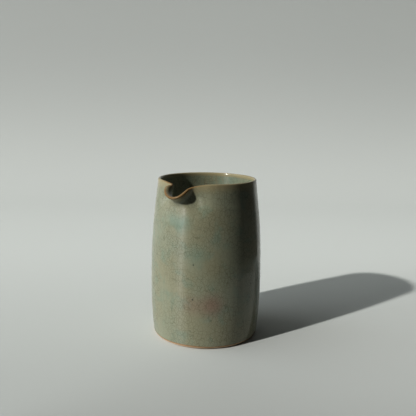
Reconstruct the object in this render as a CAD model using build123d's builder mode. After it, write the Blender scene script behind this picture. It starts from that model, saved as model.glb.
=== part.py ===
from build123d import *

import os

# Ceramic pitcher: a thrown clay wall with a foot ring and a pulled pouring lip,
# and its glaze outside, inside and over the rim. Millimetres, +Z up, origin at
# the centre of the foot on the table. The lip points to -Y.

# Outside of the glazed pot
height = 145.0
foot_radius = 48.2
belly_radius = 50.9
belly_height = 56.0
shoulder_radius = 47.4
shoulder_height = 120.0
rim_radius = 44.6

# Slope of the wall, out over up, at the foot and at the rim
foot_slope = 0.13
rim_slope = -0.06

# Clay
wall = 3.2
rim_wall = 1.7
floor_thickness = 6.0
inside_corner = 10.0
foot_bevel = 0.9
foot_ring_width = 8.0
foot_recess = 1.6
rim_round = 0.8

# Glaze, and the clearance between it and the clay
glaze = 0.4
bond = 0.02
bare_foot = 2.4
rim_band = 3.0

# Pouring lip: a cone leaves the wall at its root, and the rim dips to its nose
lip_reach = 55.6
lip_dip = 12.5
lip_dip_start = 29.0
spout_width = 24.4
spout_root_width = 18.4
spout_length = 16.0
spout_sink = 1.6
crease_radius = 2.5

# Slope of the rim's side view at the nose of the lip, down over out
lip_slope = 1.14

# How far a cutting shape runs on past what it cuts
overshoot = 4.0
spout_top = height + overshoot
lip_height = height - lip_dip
spout_root = lip_height - spout_length


def wall_side(inset, rim_inset):
    # Half section of the wall, from the table to a little above the rim.
    return Spline(
        (foot_radius - inset, 0),
        (belly_radius - inset, belly_height),
        (shoulder_radius - inset, shoulder_height),
        (rim_radius - rim_inset, height),
        (rim_radius - rim_inset + rim_slope * overshoot, spout_top),
        tangents=[(foot_slope, 1), (rim_slope, 1)],
    )


def wall_radius(z):
    # Radius of the pot's outside at height z.
    with BuildLine() as side:
        wall_side(0, 0)
    level = Edge.make_line((0, z), (2 * belly_radius, z))
    return side.edge().intersect(level)[0].X


def spout_section(z):
    # Radius of the spout's cone at height z, and how far out it stands.
    share = (z - spout_root) / spout_length
    root_reach = wall_radius(spout_root) - spout_sink
    radius = (spout_root_width + (spout_width - spout_root_width) * share) / 2
    reach = root_reach + (lip_reach - root_reach) * share
    return radius, reach


def envelope(depth, walls=0):
    # The pot's outside, moved in by depth and by so many clay walls.
    inset = depth + walls * wall
    rim_inset = depth + walls * rim_wall
    with BuildPart() as shape:
        with BuildSketch(Plane.XZ):
            with BuildLine():
                side = wall_side(inset, rim_inset)
                Polyline(side @ 1, (0, spout_top), (0, 0), side @ 0)
            make_face()
        revolve(axis=Axis.Z)
        for z, thickness in ((spout_root, inset), (spout_top, rim_inset)):
            radius, reach = spout_section(z)
            level = Plane(origin=(0, radius - reach, z), x_dir=(0, 1, 0), z_dir=(0, 0, 1))
            with BuildSketch(level):
                Circle(radius - thickness)
        loft()
        fillet(shape.edges(Select.NEW), crease_radius + rim_inset)
    return shape.part


def hollow(depth):
    # The space inside the clay wall, made smaller by depth.
    with BuildPart() as shape:
        add(envelope(glaze + depth, walls=1))
        with BuildSketch():
            Circle(belly_radius)
        extrude(amount=floor_thickness + depth, mode=Mode.SUBTRACT)
        fillet(shape.faces().sort_by(Axis.Z)[0].edges(), inside_corner - depth)
    return shape.part


def above_rim(drop):
    # All that is above the rim's side view, lowered by drop. The rim is level
    # except at the spout, where it dips to the nose and runs on past it.
    rim = height - drop
    nose = lip_height - drop
    side = 2 * belly_radius
    roof = spout_top + overshoot
    with BuildPart() as shape:
        with BuildSketch(Plane.YZ):
            with BuildLine():
                dip = Spline(
                    (-lip_dip_start, rim),
                    (-lip_reach, nose),
                    (-lip_reach - overshoot, nose - overshoot * lip_slope),
                    tangents=[(-1, 0), (-1, -lip_slope)],
                )
                Polyline(
                    dip @ 1,
                    (-side, (dip @ 1).Y),
                    (-side, roof),
                    (side, roof),
                    (side, rim),
                    dip @ 0,
                )
            make_face()
        extrude(amount=side, both=True)
    return shape.part


def rounded_wall(outside, inside, drop, radius):
    # The wall between two solids, cut off along the rim, the rim's edges rounded.
    with BuildPart() as shape:
        add(outside)
        add(inside, mode=Mode.SUBTRACT)
        add(above_rim(drop), mode=Mode.SUBTRACT)
        fillet(shape.edges(Select.NEW).filter_by(Axis.X, reverse=True), radius)
    return shape.part


os.makedirs("parts", exist_ok=True)

# Clay, one fired piece: wall, floor, foot ring and pulled lip
with BuildPart() as clay_body:
    add(rounded_wall(envelope(glaze), hollow(0), glaze, rim_round))
    with BuildSketch():
        Circle(foot_radius - foot_ring_width)
    extrude(amount=foot_recess, mode=Mode.SUBTRACT)
    chamfer(clay_body.edges().group_by(Axis.Z)[0].sort_by(SortBy.LENGTH)[-1], foot_bevel)
clay_body.part.label = "clay_body"
export_step(clay_body.part, "parts/clay_body.step")

# Glaze on the outside, from above the bare foot to the rim's band
with BuildPart() as outer_glaze:
    add(envelope(0))
    add(envelope(glaze - bond), mode=Mode.SUBTRACT)
    add(above_rim(rim_band), mode=Mode.SUBTRACT)
    with BuildSketch():
        Circle(2 * belly_radius)
    extrude(amount=bare_foot, mode=Mode.SUBTRACT)
outer_glaze.part.label = "outer_glaze"
export_step(outer_glaze.part, "parts/outer_glaze.step")

# Glaze on the inside, over the floor and up to the rim's band
with BuildPart() as inner_glaze:
    add(hollow(bond))
    add(hollow(glaze), mode=Mode.SUBTRACT)
    add(above_rim(rim_band), mode=Mode.SUBTRACT)
inner_glaze.part.label = "inner_glaze"
export_step(inner_glaze.part, "parts/inner_glaze.step")

# Glaze over the rim, thin and brown, on both sides of the edge
with BuildPart() as rim_glaze:
    add(rounded_wall(envelope(0), hollow(glaze), 0, rim_round + glaze))
    add(
        rounded_wall(envelope(glaze - bond), hollow(bond), glaze - bond, rim_round + bond),
        mode=Mode.SUBTRACT,
    )
    add(above_rim(rim_band), mode=Mode.INTERSECT)
rim_glaze.part.label = "rim_glaze"
export_step(rim_glaze.part, "parts/rim_glaze.step")
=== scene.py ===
import math

import bpy
import numpy as np
from mathutils import Euler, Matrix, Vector
from mathutils.geometry import interpolate_bezier


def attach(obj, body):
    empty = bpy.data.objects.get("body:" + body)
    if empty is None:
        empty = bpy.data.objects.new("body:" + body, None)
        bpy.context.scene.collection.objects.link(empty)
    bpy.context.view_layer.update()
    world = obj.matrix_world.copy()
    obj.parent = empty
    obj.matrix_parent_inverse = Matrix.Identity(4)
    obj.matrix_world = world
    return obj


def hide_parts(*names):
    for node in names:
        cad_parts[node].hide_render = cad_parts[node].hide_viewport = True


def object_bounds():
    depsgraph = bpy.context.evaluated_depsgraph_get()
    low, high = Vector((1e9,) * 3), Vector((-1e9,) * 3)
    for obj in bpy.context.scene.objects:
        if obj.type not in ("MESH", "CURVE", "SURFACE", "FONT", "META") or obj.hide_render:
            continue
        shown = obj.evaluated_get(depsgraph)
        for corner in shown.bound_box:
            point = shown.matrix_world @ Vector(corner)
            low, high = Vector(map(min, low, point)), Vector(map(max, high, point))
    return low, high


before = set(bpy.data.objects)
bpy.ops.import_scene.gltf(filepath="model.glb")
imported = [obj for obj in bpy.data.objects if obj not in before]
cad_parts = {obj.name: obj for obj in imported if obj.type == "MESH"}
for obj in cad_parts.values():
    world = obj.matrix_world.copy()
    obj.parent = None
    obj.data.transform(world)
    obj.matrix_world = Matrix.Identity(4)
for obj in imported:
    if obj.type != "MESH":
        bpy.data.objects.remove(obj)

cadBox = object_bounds()
mm = 0.001

# The camera, on the pouring side and a little to the right of the lip
camera = {
    "place": (0.26862, -0.42165, 0.20793),
    "turn": (79.69, -0.907, 32.552),
    "lens": 47.8,
    "sensor": 36.0,
}


def addCamera():
    lens = bpy.data.cameras.new("camera")
    lens.lens = camera["lens"]
    lens.sensor_width = camera["sensor"]
    lens.clip_start = 0.01
    lens.clip_end = 50
    eye = bpy.data.objects.new("camera", lens)
    bpy.context.scene.collection.objects.link(eye)
    eye.location = camera["place"]
    eye.rotation_euler = Euler([math.radians(a) for a in camera["turn"]])
    bpy.context.scene.camera = eye


# The thrown wall, in metres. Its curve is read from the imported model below
wall = {
    "glaze": 0.4 * mm,
    "bond": 0.02 * mm,
    "thick": 3.2 * mm,
    "rimThick": 1.7 * mm,
    "thinsFrom": 112 * mm,
    "floor": 6.0 * mm,
    "corner": 10.0 * mm,
    "bareFoot": 2.4 * mm,
    "footBevel": 1.9 * mm,
    "footInset": 2.6 * mm,
    "ring": 8.0 * mm,
    "recess": 1.6 * mm,
    "rimBand": 3.0 * mm,
    "turns": 320,
    "crowd": 0.45,  # how far the turns gather towards the lip
    # The heights of the rings of points, in mm, closer together near the lip
    "ringGap": 2.4,
    "fineFrom": 104,
    "fineTo": 141.5,
    "fineGap": 1.0,
}
rimHeight = cadBox[1].z
skin = np.array([v.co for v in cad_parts["outer_glaze"].data.vertices])
back = skin[skin[:, 1] > 0.02]
reach = np.hypot(back[:, 0], back[:, 1])
outside = np.array([
    (z, reach[np.abs(back[:, 2] - z) < 0.2 * mm].max())
    for z in np.unique(np.round(back[:, 2], 4))
])
rimSkin = np.array([v.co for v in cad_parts["rim_glaze"].data.vertices])
rimBack = rimSkin[(rimSkin[:, 1] > 0.02) & (rimSkin[:, 2] < rimHeight - 1.3 * mm)]
rimReach = np.hypot(rimBack[:, 0], rimBack[:, 1])
rimLevels = np.unique(np.round(rimBack[:, 2], 4))
outside = np.vstack([outside, [
    (z, rimReach[np.abs(rimBack[:, 2] - z) < 0.2 * mm].max()) for z in rimLevels
]])
for trial in range(6):  # points on the glaze's hidden side drop out
    wallCurve = np.polyfit(outside[:, 0] / rimHeight, outside[:, 1], 6)
    miss = outside[:, 1] - np.polyval(wallCurve, outside[:, 0] / rimHeight)
    outside = outside[miss > -max(0.05 * mm, 0.6 * abs(miss).max())]
miss = np.polyval(wallCurve, outside[:, 0] / rimHeight) - outside[:, 1]
print("wall curve fitted within", round(float(abs(miss).max() / mm), 3), "mm")

# The pulled lip: its edge from left to right as (sideways, outward, height) in mm
lip = {
    "edge": [
        (-34.2, 28.6, 145.0), (-30.5, 32.6, 145.0), (-26.0, 36.2, 145.0), (-20.5, 39.4, 144.9),
        (-15.5, 41.3, 144.4), (-12.0, 41.75, 143.7), (-10.1, 41.7, 143.1), (-10.6, 43.6, 142.2),
        (-12.0, 46.4, 140.8), (-12.2, 49.0, 138.7), (-10.6, 51.7, 136.4), (-7.6, 53.9, 134.2),
        (-4.0, 55.2, 132.9), (0.0, 55.6, 132.5), (4.0, 55.2, 132.9), (7.6, 53.8, 134.3),
        (10.4, 51.4, 136.7), (11.9, 48.6, 138.9), (12.6, 45.8, 140.8), (14.0, 43.3, 142.3),
        (16.6, 41.6, 143.3), (20.5, 39.3, 144.2), (25.5, 36.4, 144.9), (30.3, 32.7, 145.0),
        (34.2, 28.6, 145.0),
    ],
    "pulledFrom": 113 * mm,
    "flare": 1.35,
    "softening": 9,
    # The dents that two fingers leave beside it: angle, width, height, reach up, depth
    "pinch": (0.44, 0.17, 133 * mm, 10 * mm, 3.2 * mm),
}

# What the hand left: faint throwing rings and a pot that isn't quite round
hand = {
    "rings": [(7.3, 0.035, 1.0), (11.9, 0.045, -0.6), (4.1, 0.014, 2.2)],
    "outOfRound": [(2, 0.16, 0.4), (3, 0.07, 2.1)],
}


def smoothLine(points, steps=10):
    points = [Vector(p) for p in points]
    points = [2 * points[0] - points[1], *points, 2 * points[-1] - points[-2]]
    line = []
    for a, b, c, d in zip(points, points[1:], points[2:], points[3:]):
        line += interpolate_bezier(b, b + (c - a) / 6, c - (d - b) / 6, c, steps)[:-1]
    return np.array(line + [points[-2]])


def thrownRadius(height):
    return np.polyval(wallCurve, np.clip(height, 0, rimHeight) / rimHeight)


def handWobble(angle, height):
    wobble = np.zeros_like(angle)
    for size, depth, lean in hand["rings"]:
        wobble += depth * mm * np.sin(2 * math.pi * height / (size * mm) + lean * angle + size)
    for lobes, depth, start in hand["outOfRound"]:
        swell = height / rimHeight
        wobble += depth * mm * swell * np.sin(lobes * angle + start + 1.3 * swell)
    fade = np.clip(height / (6 * mm), 0, 1) * np.clip((rimHeight - height) / (12 * mm), 0, 1)
    return wobble * fade


# The lip's edge as angle, radius and height, against the angle it had when thrown
edge = smoothLine(lip["edge"]) * mm
edgeAngle = np.unwrap(np.arctan2(edge[:, 0], edge[:, 1]))
edgeRadius = np.hypot(edge[:, 0], edge[:, 1])
along = np.concatenate([[0], np.cumsum(np.linalg.norm(np.diff(edge, axis=0), axis=1))])
thrownAngle = edgeAngle[0] + (edgeAngle[-1] - edgeAngle[0]) * along / along[-1]
flat = np.gradient(edge[:, :2], along, axis=0)
flat /= np.linalg.norm(flat, axis=1)[:, None]
outward = np.stack([-flat[:, 1], flat[:, 0]], 1)
if outward[len(outward) // 2, 1] < 0:
    outward = -outward
rimRadius = thrownRadius(rimHeight)
flare = np.clip((edgeRadius - rimRadius) / (edgeRadius.max() - rimRadius), 0, 1) ** 0.7
rimSlope = (thrownRadius(rimHeight) - thrownRadius(rimHeight - mm)) / mm
radial = np.stack([np.sin(edgeAngle), np.cos(edgeAngle)], 1)
sideways = np.stack([np.cos(edgeAngle), -np.sin(edgeAngle)], 1)
lean = np.stack([
    (outward * sideways).sum(1) * lip["flare"] * flare / edgeRadius,
    (outward * radial).sum(1) * lip["flare"] * flare + rimSlope * (1 - flare),
    1 - 0.42 * flare,
], 1)
moves = np.stack([
    edgeAngle - thrownAngle, edgeRadius - rimRadius, edge[:, 2] - rimHeight,
    lean[:, 0], lean[:, 1] - rimSlope, lean[:, 2] - 1,
], 1)
span = np.linspace(-math.pi, math.pi, 2881)
moves = np.stack([np.interp(span, thrownAngle, m, left=0, right=0) for m in moves.T], 1)


def softened(rows, width):
    kernel = np.exp(-0.5 * (np.arange(-4 * width, 4 * width + 1) / width) ** 2)
    return np.stack([np.convolve(r, kernel / kernel.sum(), "same") for r in rows.T], 1)


crisp = softened(moves, lip["softening"] // 4)
soft = softened(moves, lip["softening"] * 6)


def outerPoint(angle, height):
    share = np.clip((height - lip["pulledFrom"]) / (rimHeight - lip["pulledFrom"]), 0, 1)
    keep = share[:, None] ** 1.5
    sharp = np.stack([np.interp(angle, span, m) for m in crisp.T], 1)
    gentle = np.stack([np.interp(angle, span, m) for m in soft.T], 1)
    move = sharp * keep + gentle * (1 - keep)
    place = 3 * share ** 2 - 2 * share ** 3
    turn = (share ** 3 - share ** 2) * (rimHeight - lip["pulledFrom"])
    newAngle = angle + place * move[:, 0] + turn * move[:, 3]
    newRadius = thrownRadius(height) + handWobble(angle, height)
    newRadius = newRadius + place * move[:, 1] + turn * move[:, 4]
    aside, width, level, reachUp, depth = lip["pinch"]
    beside = ((abs(angle) - aside) / width) ** 2 + ((height - level) / reachUp) ** 2
    beside = np.exp(-beside)
    newRadius = newRadius - depth * beside * (1 - share ** 5)
    newHeight = height + place * move[:, 2] + turn * move[:, 5]
    return np.stack([newRadius * np.sin(newAngle), -newRadius * np.cos(newAngle), newHeight], 1)


def outwardAt(angle, height):
    step = 0.2 * mm
    level = np.clip(height, step, rimHeight - step)
    across = outerPoint(angle + step / 0.045, level) - outerPoint(angle - step / 0.045, level)
    up = outerPoint(angle, level + step) - outerPoint(angle, level - step)
    normal = np.cross(across, up)
    return normal / np.linalg.norm(normal, axis=1)[:, None]


def pullLip(piece):
    # Moves every point of a thrown piece with the wall outside it, keeping its depth in the wall
    points = np.zeros(len(piece.data.vertices) * 3)
    piece.data.vertices.foreach_get("co", points)
    points = points.reshape(-1, 3)
    angle = np.arctan2(points[:, 0], -points[:, 1])
    angle = angle - wall["crowd"] * np.sin(angle)
    radius, height = np.hypot(points[:, 0], points[:, 1]), points[:, 2]
    thrown = np.stack([radius * np.sin(angle), -radius * np.cos(angle), height], 1)
    depth = thrownRadius(height) - radius
    ahead = np.stack([np.sin(angle), -np.cos(angle), 0 * angle], 1)
    pulled = np.clip((height - lip["pulledFrom"]) / (8 * mm), 0, 1)[:, None]
    normal = ahead * (1 - pulled) + outwardAt(angle, height) * pulled
    normal /= np.linalg.norm(normal, axis=1)[:, None]
    inWall = np.clip(1 - (depth / wall["corner"]), 0, 1)[:, None]
    shaped = outerPoint(angle, height) - normal * depth[:, None]
    final = np.where(inWall > 0, thrown + (shaped - thrown) * np.minimum(1, inWall * 2.5), thrown)
    piece.data.vertices.foreach_set("co", final.ravel())
    mark = piece.data.attributes.new("thrown", "FLOAT_VECTOR", "POINT")
    mark.data.foreach_set("vector", thrown.ravel())
    piece.data.update()


def clearSelection():
    if bpy.context.mode != "OBJECT":
        bpy.ops.object.mode_set(mode="OBJECT")
    bpy.ops.object.select_all(action="DESELECT")


def throwPiece(name, outline, closed):
    # One point is drawn out along the half section, and that is spun round like clay on a wheel
    clearSelection()
    (r, z), *rest = outline
    bpy.ops.mesh.primitive_plane_add(size=mm, location=(r, 0, z))
    piece = bpy.context.object
    piece.name = piece.data.name = name
    bpy.ops.object.transform_apply(location=True, rotation=True, scale=True)
    bpy.ops.object.mode_set(mode="EDIT")
    bpy.ops.mesh.select_mode(type="VERT")
    bpy.ops.mesh.select_all(action="SELECT")
    bpy.ops.mesh.merge(type="CENTER")
    for r2, z2 in rest + ([outline[0]] if closed else []):
        move = (r2 - r, 0, z2 - z)
        bpy.ops.mesh.extrude_region_move(TRANSFORM_OT_translate={"value": move})
        r, z = r2, z2
    bpy.ops.mesh.select_all(action="SELECT")
    bpy.ops.mesh.remove_doubles(threshold=0.01 * mm)
    bpy.ops.mesh.spin(steps=wall["turns"], angle=2 * math.pi, center=(0, 0, 0), axis=(0, 0, 1))
    bpy.ops.mesh.select_all(action="SELECT")
    bpy.ops.mesh.remove_doubles(threshold=0.01 * mm)
    bpy.ops.mesh.delete_loose()
    bpy.ops.mesh.select_all(action="SELECT")
    bpy.ops.mesh.normals_make_consistent(inside=False)
    bpy.ops.object.mode_set(mode="OBJECT")
    pullLip(piece)
    clearSelection()
    piece.select_set(True)
    bpy.context.view_layer.objects.active = piece
    bpy.ops.object.shade_smooth_by_angle(angle=math.radians(50))
    print("made", name, len(piece.data.vertices), "points")
    return piece


# Half sections of the four pieces, as lines of radius and height
seam = rimHeight - wall["rimBand"]


def levels(start, end):
    # The rings between two heights, with a few more about the glaze seam
    low = [z * mm for z in np.arange(4, wall["fineFrom"], wall["ringGap"])]
    high = [z * mm for z in np.arange(wall["fineFrom"], wall["fineTo"], wall["fineGap"])]
    near = [seam - 0.5 * mm, seam - 0.2 * mm, seam, seam + 0.2 * mm, seam + 0.5 * mm, seam + mm]
    return [z for z in [*low, *high, *near] if start + 0.12 * mm < z < end - 0.12 * mm]


def thickness(z):
    thin = np.clip((z - wall["thinsFrom"]) / (rimHeight - wall["thinsFrom"]), 0, 1)
    return wall["thick"] + (wall["rimThick"] - wall["thick"]) * thin * thin * (3 - 2 * thin)


def atDepth(depth, z):
    return (thrownRadius(z) - depth, z)


def capRound(outer, inner, steps=10):
    # Half round over the rim, from its outer face to its inner face
    half = (inner - outer) / 2
    top = rimHeight - outer
    middle = thrownRadius(top - half) - outer - half
    return [
        (middle + half * math.cos(a), top - half + half * math.sin(a))
        for a in np.linspace(0, math.pi, steps)
    ]


def capBase(outer, inner):
    return rimHeight - outer - (inner - outer) / 2


def basin(depth, top):
    # The inside, down from a height to the middle of the floor, depth in from the clay
    extra = wall["glaze"] + depth
    floor = wall["floor"] + depth
    corner = wall["corner"] - depth
    foot = floor + corner
    side = [atDepth(extra + thickness(z), z) for z in reversed(levels(foot, top))]
    r = thrownRadius(foot) - extra - thickness(foot)
    turn = [
        (r - corner + corner * math.cos(a), foot - corner * math.sin(a))
        for a in np.linspace(0, math.pi / 2, 9)
    ]
    return side + turn + [(r - corner - k * (r - corner) / 7, floor) for k in range(1, 8)]


def clayOutline():
    g = wall["glaze"]
    rimDepth = g + float(thickness(rimHeight))
    foot = thrownRadius(0) - g
    inner = thrownRadius(0) - wall["ring"]
    b, c, h = wall["footBevel"], wall["footInset"], wall["recess"]
    under = [(k * (inner - 2 * mm) / 5, h) for k in range(6)]
    under += [(inner - 0.9 * mm, h), (inner - 0.25 * mm, h - 0.2 * mm), (inner, h - 0.7 * mm)]
    under += [(inner + 0.1 * mm, 0.35 * mm), (inner + 0.5 * mm, 0), (inner + 3 * mm, 0)]
    under += [(foot - c - mm, 0), (foot - c, 0)]
    under += [(foot - c / 2, b / 4), (foot - c / 6, b / 2), (foot, b)]
    low = [atDepth(g, z) for z in (2.3 * mm, 2.8 * mm, 3.4 * mm)]
    top = capBase(g, rimDepth)
    return [
        *under, *low, *[atDepth(g, z) for z in levels(3.6 * mm, top)],
        *capRound(g, rimDepth), *basin(0, top),
    ]


def outerGlazeOutline():
    g, b = wall["glaze"], wall["glaze"] - wall["bond"]
    low = wall["bareFoot"]
    # The glaze ends above the foot in a soft roll
    roll = [atDepth(b, low), atDepth(b * 0.55, low + 0.06 * mm), atDepth(b * 0.2, low + 0.25 * mm)]
    roll += [atDepth(b * 0.04, low + 0.6 * mm), atDepth(0, low + 1.0 * mm)]
    heights = levels(3.6 * mm, seam)
    up = [atDepth(0, z) for z in [*heights, seam]]
    down = [atDepth(b, z) for z in reversed([3.4 * mm, *heights, seam])]
    return roll + up + down


def innerGlazeOutline():
    b = wall["bond"]
    g = wall["glaze"]
    face = [atDepth(g + g + thickness(seam), seam), *basin(g, seam)]
    behind = [atDepth(g + b + thickness(seam), seam), *basin(b, seam)]
    return face + behind[::-1]


def rimGlazeOutline():
    g = wall["glaze"]
    b = wall["bond"]
    rimDepth = float(thickness(rimHeight))
    outerTop, innerTop = capBase(0, 2 * g + rimDepth), capBase(g - b, g + rimDepth + b)
    up = [atDepth(0, z) for z in [seam, *levels(seam, outerTop)]]
    down = [atDepth(2 * g + thickness(z), z) for z in reversed([seam, *levels(seam, outerTop)])]
    behindLevels = [seam, *levels(seam, innerTop)]
    upBehind = [atDepth(g - b, z) for z in behindLevels]
    downBehind = [atDepth(g + b + thickness(z), z) for z in reversed(behindLevels)]
    face = up + capRound(0, 2 * g + rimDepth) + down
    behind = upBehind + capRound(g - b, g + rimDepth + b) + downBehind
    return face + behind[::-1]


def tiltGlazeLine(piece):
    # The glaze was wiped off the foot by hand, so its lower edge wanders
    for v in piece.data.vertices:
        near = max(0.0, 1 - (v.co.z - wall["bareFoot"]) / (9 * mm))
        if near:
            a = math.atan2(v.co.x, -v.co.y)
            wander = 0.35 * math.cos(a + 1.0) + 0.14 * math.sin(3 * a + 0.5)
            wander = wander + 0.08 * math.sin(7 * a)
            v.co.z += (wander - 0.25) * mm * near


# Shader maths
class Signal:
    def __init__(self, bench, socket):
        self.bench = bench
        self.socket = socket

    def calc(self, operation, *values):
        return self.bench.node("ShaderNodeMath", {"operation": operation}, dict(enumerate(values)))

    def __add__(self, other):
        return self.calc("ADD", self, other)

    def __radd__(self, other):
        return self.calc("ADD", other, self)

    def __sub__(self, other):
        return self.calc("SUBTRACT", self, other)

    def __rsub__(self, other):
        return self.calc("SUBTRACT", other, self)

    def __mul__(self, other):
        return self.calc("MULTIPLY", self, other)

    def __rmul__(self, other):
        return self.calc("MULTIPLY", other, self)

    def larger(self, other):
        return self.calc("MAXIMUM", self, other)


class Bench:
    # The nodes of one material or world
    def __init__(self, owner):
        owner.use_nodes = True
        self.owner = owner
        self.tree = owner.node_tree
        self.tree.nodes.clear()

    def node(self, kind, settings, values, output=0):
        made = self.tree.nodes.new(kind)
        for key, value in settings.items():
            setattr(made, key, value)
        for key, value in values.items():
            socket = made.inputs[key]
            if isinstance(value, Signal):
                self.tree.links.new(value.socket, socket)
            elif socket.type == "RGBA" and len(value) == 3:
                socket.default_value = (*value, 1)
            else:
                socket.default_value = value
        return Signal(self, made.outputs[output])

    def mix(self, share, a, b, blend="MIX"):
        settings = {"data_type": "RGBA", "blend_type": blend, "clamp_factor": True}
        return self.node("ShaderNodeMix", settings, {0: share, 6: a, 7: b}, 2)

    def ease(self, value, low, high, start=0.0, end=1.0):
        values = {0: value, 1: low, 2: high, 3: start, 4: end}
        return self.node("ShaderNodeMapRange", {"interpolation_type": "SMOOTHSTEP"}, values)

    def noise(self, place, size, detail=3.0, rough=0.5, warp=0.0, output=0):
        # size is how large the blotches are, in the units of the place
        values = {"Vector": place, "Scale": 1 / size, "Detail": detail, "Roughness": rough}
        return self.node("ShaderNodeTexNoise", {}, {**values, "Distortion": warp}, output)

    def vector(self, operation, values, output=0):
        return self.node("ShaderNodeVectorMath", {"operation": operation}, values, output)

    def stretch(self, place, x, y, z):
        return self.vector("MULTIPLY", {0: place, 1: (x, y, z)})

    def inMm(self, place):
        return self.vector("SCALE", {0: place, "Scale": 1000.0})

    def near(self, place, centre, size):
        return self.ease(self.vector("DISTANCE", {0: place, 1: centre}, 1), size, 0.0)

    def net(self, place, cell, width):
        # The lines between cells of this size
        values = {"Vector": place, "Scale": 1 / cell, "Randomness": 1.0}
        gap = self.node("ShaderNodeTexVoronoi", {"feature": "DISTANCE_TO_EDGE"}, values)
        return self.ease(gap, width, width * 0.25)

    def dots(self, place, apart, outer, inner):
        values = {"Vector": place, "Scale": 1 / apart}
        return self.ease(self.node("ShaderNodeTexVoronoi", {"feature": "F1"}, values), outer, inner)

    def finish(self, surface, kind="Material"):
        end = self.tree.nodes.new("ShaderNodeOutput" + kind)
        self.tree.links.new(surface.socket, end.inputs["Surface"])
        return self.owner

    def shader(self, values):
        return self.finish(self.node("ShaderNodeBsdfPrincipled", {}, values))


def newMaterial(name):
    return Bench(bpy.data.materials.new(name))


# The glaze: a crackled grey-green celadon that breaks to tan and brown where it is thin.
# Places and sizes are in mm
celadon = {
    "green": (0.200, 0.209, 0.150),
    "olive": (0.203, 0.198, 0.133),
    "teal": (0.150, 0.200, 0.152),
    "buff": (0.262, 0.256, 0.180),
    "mauve": (0.200, 0.132, 0.098),
    "tan": (0.255, 0.220, 0.128),
    "brown": (0.165, 0.100, 0.040),
    "orange": (0.260, 0.140, 0.060),
    "iron": (0.030, 0.033, 0.026),
    "stain": (0.42, 0.42, 0.36),
    "crack": 0.55,
    "cell": 2.3,
    "rough": 0.40,
    "shine": 0.75,
    "bandInside": 6.0,
    "bandOutside": 11.5,
    "blushes": [((31.9, -39.5, 41.4), 17.0, 0.75), ((17.7, -47.6, 40.8), 14.0, 0.42)],
    "cool": [
        ((6.6, -47.7, 111.4), 13.0, 0.7),
        ((20.0, -45.8, 86.0), 14.0, 0.6),
        ((-7.3, -47.4, 114.0), 12.0, 0.5),
    ],
    "specks": [
        ((17.2, -47.8, 46.2), 0.8),
        ((17.5, -47.3, 76.8), 0.7),
        ((-31, -38, 62), 0.7),
        ((38, 30, 90), 0.9),
    ],
}


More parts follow.
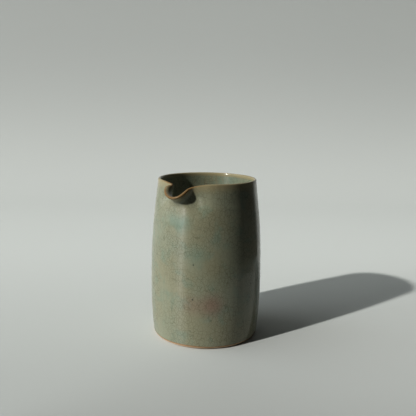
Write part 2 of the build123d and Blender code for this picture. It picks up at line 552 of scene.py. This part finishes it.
def glazeMaterial(name, inside=False, rim=False):
    b = newMaterial(name)
    place = b.inMm(b.node("ShaderNodeTexCoord", {}, {}, "Object"))
    thrown = b.inMm(b.node("ShaderNodeAttribute", {"attribute_name": "thrown"}, {}, "Vector"))
    height = b.node("ShaderNodeSeparateXYZ", {}, {0: thrown}, "Z")
    below = rimHeight / mm - height  # how far under the rim, along the wall

    # Slow drifts of colour, and runs down the wall
    drift = b.noise(place, 34.0, 2.0, 0.5)
    patch = b.noise(place, 13.0, 3.0, 0.55, 0.4)
    runs = b.noise(b.stretch(place, 1.0, 1.0, 0.11), 2.6, 3.0, 0.6)
    colour = b.mix(b.ease(drift, 0.36, 0.64), celadon["green"], celadon["olive"])
    colour = b.mix(b.ease(patch, 0.50, 0.72) * 0.55, colour, celadon["teal"])
    colour = b.mix(b.ease(runs, 0.45, 0.75) * 0.22, colour, celadon["buff"])
    if inside:
        colour = b.mix(b.ease(runs, 0.40, 0.62) * 0.35, colour, celadon["teal"])
    else:
        for centre, size, strength in celadon["cool"]:
            cool = b.near(place, centre, size) * patch * (2 * strength)
            colour = b.mix(cool, colour, celadon["teal"])
        for centre, size, strength in celadon["blushes"]:
            colour = b.mix(b.near(place, centre, size) * strength, colour, celadon["mauve"])

    # Crackle: a wide net and a finer one inside it
    bent = b.vector("SCALE", {0: b.noise(place, 6.0, 2.0, 0.5, 0.0, "Color"), "Scale": 2.2})
    cracked = b.stretch(b.vector("ADD", {0: place, 1: bent}), 1.0, 1.0, 0.72)
    wide = b.net(cracked, celadon["cell"] * 1.5, 0.055)
    fine = b.net(cracked, celadon["cell"] * 0.82, 0.070)
    crackle = wide.larger(fine * 0.7) * b.ease(b.noise(place, 22.0, 1.0), 0.32, 0.60, 0.35, 1.0)
    colour = b.mix(crackle * celadon["crack"], colour, celadon["stain"], "MULTIPLY")

    # Iron specks
    if not inside:
        for centre, size in celadon["specks"]:
            colour = b.mix(b.near(place, centre, size * 1.6), colour, celadon["iron"])
    colour = b.mix(b.dots(place, 9.0, 0.030, 0.012) * 0.6, colour, celadon["iron"])

    # Thin over the rim: tan all round, and brown mostly along the pulled lip
    uneven = b.noise(place, 5.0, 2.0)
    deep = celadon["bandInside"] if inside else celadon["bandOutside"]
    band = b.ease(below + uneven * 4.0, deep, 2.0)
    colour = b.mix(band * 0.9, colour, celadon["tan"])
    rough = celadon["rough"] + patch * 0.08 + crackle * 0.12 + band * 0.04
    shine = celadon["shine"] - crackle * 0.2
    if rim:
        ahead = b.node("ShaderNodeSeparateXYZ", {}, {0: thrown}, "Y")
        atLip = b.ease(ahead, -34.0, -40.5)
        line = b.ease(below + uneven * 0.5, 1.5, 0.6)
        colour = b.mix(line * (0.10 + atLip * 0.85), colour, celadon["brown"])
        rough = rough + line * atLip * 0.2
        shine = shine - line * atLip * 0.6
    elif not inside:
        # It breaks brown again where it was wiped thin above the foot
        colour = b.mix(b.ease(height, 3.5, 2.8) * 0.9, colour, celadon["orange"])

    # Throwing lines and an uneven skin stand up a little, and the crackle sinks in
    lines = b.noise(b.stretch(place, 0.05, 0.05, 1.0), 0.9, 2.0, 0.55)
    peel = b.noise(place, 1.6, 2.0, 0.5)
    relief = lines * 0.5 + peel * 0.35 - crackle * 0.25
    bump = b.node("ShaderNodeBump", {}, {"Strength": 0.12, "Distance": 0.0004, "Height": relief})
    return b.shader({
        "Base Color": colour, "Roughness": rough, "Normal": bump,
        "IOR": 1.5, "Specular IOR Level": 0.2, "Anisotropic": 0.95, "Anisotropic Rotation": 0.25,
        "Coat Weight": shine, "Coat Roughness": 0.14, "Coat IOR": 1.45,
    })


# The bare clay of the foot
clay = {
    "body": (0.50, 0.36, 0.235),
    "flash": (0.33, 0.18, 0.085),
    "grog": (0.30, 0.22, 0.15),
    "dust": (0.54, 0.43, 0.31),
    "rough": 0.78,
}


def clayMaterial(name):
    b = newMaterial(name)
    place = b.inMm(b.node("ShaderNodeTexCoord", {}, {}, "Object"))
    height = b.node("ShaderNodeSeparateXYZ", {}, {0: place}, "Z")
    grain = b.noise(place, 0.5, 3.0, 0.6)
    cloud = b.noise(place, 9.0, 3.0, 0.5)
    colour = b.mix(b.ease(cloud, 0.40, 0.70) * 0.6, clay["body"], clay["dust"])
    colour = b.mix(b.dots(place, 1.6, 0.16, 0.06) * 0.7, colour, clay["grog"])
    colour = b.mix(b.ease(height + cloud * 0.8, 1.8, 2.8) * 0.85, colour, clay["flash"])
    relief = grain * 0.6 + cloud * 0.2
    bump = b.node("ShaderNodeBump", {}, {"Strength": 0.35, "Distance": 0.0003, "Height": relief})
    rough = clay["rough"] + grain * 0.15
    return b.shader({"Base Color": colour, "Roughness": rough, "Normal": bump})


# The studio: a pale paper sweep, a key light from the front left, a soft window on the
# left and two black cards. Places are as seen from the camera: right, away, up. Only
# keyFrom is in the pot's own frame
studio = {
    "paper": (0.562, 0.580, 0.560),
    "grain": (0.60, 0.62, 0.59),
    "sweepSize": (7, 4.6, 1),
    "sweepNearer": 1.65,
    "sweepRadius": 0.9,
    "sweepSteps": 24,
    "sweepWall": 2.5,
    "turn": 32.5,
    "key": 3.65,
    "keySize": 1.8,
    "keyColour": (1.0, 0.99, 0.965),
    "keyFrom": (-0.3286, -0.8056, 0.4930),
    "window": 1.65,
    "windowFrom": (-0.97, 0.16, 0.26),
    "windowEdge": (0.42, 0.85),
    "air": (0.95, 1.0, 1.02),
    "room": 0.075,
    "exposure": 0.16,
    "gamma": 0.86,
    "black": (0.012, 0.012, 0.011),
    "cards": {  # size, place and turn in degrees
        "rightCard": ((1, 0.87, 1.2), (0.29, -0.215, 0.601), (0, -90, 0)),
        "frontCard": ((0.44, 1, 0.5), (0.06, -0.175, 0.251), (-90, 0, 0)),
    },
}


def turned(x, y, z=0.0):
    # A direction given as seen from the camera: right, away, up
    a = math.radians(studio["turn"])
    return (x * math.cos(a) - y * math.sin(a), x * math.sin(a) + y * math.cos(a), z)


def placeInStudio():
    # Turns what was just made to face the camera
    bpy.ops.transform.rotate(
        value=math.radians(-studio["turn"]), orient_axis="Z", center_override=(0, 0, 0))
    bpy.ops.object.transform_apply(location=True, rotation=True, scale=True)


def addSweep():
    clearSelection()
    bpy.ops.mesh.primitive_plane_add(size=1, location=(0, 0, 0))
    sweep = bpy.context.object
    sweep.name = sweep.data.name = "sweep"
    bpy.ops.transform.resize(value=studio["sweepSize"])
    bpy.ops.object.transform_apply(location=True, rotation=True, scale=True)
    corners = sweep.data.vertices
    for f in sweep.data.polygons:
        f.select = False
    for e in sweep.data.edges:
        e.select = all(corners[i].co.y > 1 for i in e.vertices)
    for v in corners:
        v.select = v.co.y > 1
    bpy.ops.object.mode_set(mode="EDIT")
    bpy.ops.mesh.select_mode(type="EDGE")
    bpy.ops.transform.translate(value=(0, -studio["sweepNearer"], 0))
    radius, steps = studio["sweepRadius"], studio["sweepSteps"]
    for k in range(1, steps + 1):
        a, c = (k - 1) / steps * math.pi / 2, k / steps * math.pi / 2
        move = (0, radius * (math.sin(c) - math.sin(a)), radius * (math.cos(a) - math.cos(c)))
        bpy.ops.mesh.extrude_region_move(TRANSFORM_OT_translate={"value": move})
    move = (0, 0, studio["sweepWall"])
    bpy.ops.mesh.extrude_region_move(TRANSFORM_OT_translate={"value": move})
    bpy.ops.mesh.select_all(action="SELECT")
    bpy.ops.mesh.normals_make_consistent(inside=False)
    bpy.ops.object.mode_set(mode="OBJECT")
    bpy.ops.object.shade_smooth()
    placeInStudio()

    # Painted shade: the paper is darker in front and up its curve, where the light falls off, and
    # painted light makes it a little less so at the front right
    b = newMaterial("sweep_paper")
    place = b.node("ShaderNodeTexCoord", {}, {}, "Object")
    away = b.vector("DOT_PRODUCT", {0: place, 1: turned(0, 1)}, 1)
    right = b.vector("DOT_PRODUCT", {0: place, 1: turned(1, 0)}, 1)
    up = b.node("ShaderNodeSeparateXYZ", {}, {0: place}, "Z")
    paintedShading = b.ease(away, -0.30, 0.30, 0.78, 1.04) * b.ease(away + up, 0.25, 1.9, 1.0, 0.56)
    paintedShading = paintedShading * b.ease(right, 0.0, 0.6, 1.0, 0.98)
    # Painted light lifts the paper a little at the front right
    paintedShading = paintedShading * (1 + b.ease(right, 0.0, 0.2) * b.ease(away, 0.12, -0.1) * 0.12)
    grey = b.node("ShaderNodeCombineColor", {}, {0: paintedShading, 1: paintedShading, 2: paintedShading})
    colour = b.mix(1.0, studio["paper"], grey, "MULTIPLY")
    colour = b.mix(b.noise(place, 0.004, 3.0) * 0.05, colour, studio["grain"])
    sweep.data.materials.append(b.shader({"Base Color": colour, "Roughness": 0.8}))


def addCard(name, size, place, turn):
    # A black card, unseen itself, which the glaze mirrors
    clearSelection()
    turn = [math.radians(a) for a in turn]
    bpy.ops.mesh.primitive_plane_add(size=1, location=(0, 0, 0), rotation=turn)
    card = bpy.context.object
    card.name = card.data.name = name
    bpy.ops.transform.resize(value=size)
    bpy.ops.transform.translate(value=place)
    bpy.ops.object.transform_apply(location=True, rotation=True, scale=True)
    placeInStudio()
    black = newMaterial(name).shader({"Base Color": studio["black"], "Roughness": 0.9})
    card.data.materials.append(black)
    card.visible_camera = False
    card.visible_shadow = False


def addLights():
    lamp = bpy.data.lights.new("key", "SUN")
    lamp.energy = studio["key"]
    lamp.angle = math.radians(studio["keySize"])
    lamp.color = studio["keyColour"]
    key = bpy.data.objects.new("key", lamp)
    bpy.context.scene.collection.objects.link(key)
    key.rotation_euler = Vector(studio["keyFrom"]).to_track_quat("Z", "Y").to_euler()

    # The surround is dim but for the window
    b = Bench(bpy.data.worlds.new("surround"))
    bpy.context.scene.world = b.owner
    towards = b.node("ShaderNodeTexCoord", {}, {}, "Generated")
    window = Vector(turned(*studio["windowFrom"])).normalized()
    facing = b.vector("DOT_PRODUCT", {0: towards, 1: window}, 1)
    strength = b.ease(facing, *studio["windowEdge"], studio["room"], studio["window"])
    values = {"Color": studio["air"], "Strength": strength}
    b.finish(b.node("ShaderNodeBackground", {}, values), "World")
    film = bpy.context.scene.view_settings
    film.view_transform = "Standard"
    film.exposure = studio["exposure"]
    film.gamma = studio["gamma"]


addCamera()
addSweep()
for cardName, card in studio["cards"].items():
    addCard(cardName, *card)
addLights()
print("studio ready")

body = throwPiece("stoneware_body", clayOutline(), False)
body.data.materials.append(clayMaterial("bare_stoneware"))
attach(body, "root")
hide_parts("clay_body")

coat = throwPiece("celadon_outside", outerGlazeOutline(), True)
tiltGlazeLine(coat)
coat.data.materials.append(glazeMaterial("celadon_glaze"))
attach(coat, "root")
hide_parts("outer_glaze")

lining = throwPiece("celadon_inside", innerGlazeOutline(), True)
lining.data.materials.append(glazeMaterial("inner_celadon_glaze", inside=True))
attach(lining, "root")
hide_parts("inner_glaze")

rim = throwPiece("brown_rim", rimGlazeOutline(), True)
rim.data.materials.append(glazeMaterial("brown_rim_glaze", rim=True))
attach(rim, "root")
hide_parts("rim_glaze")
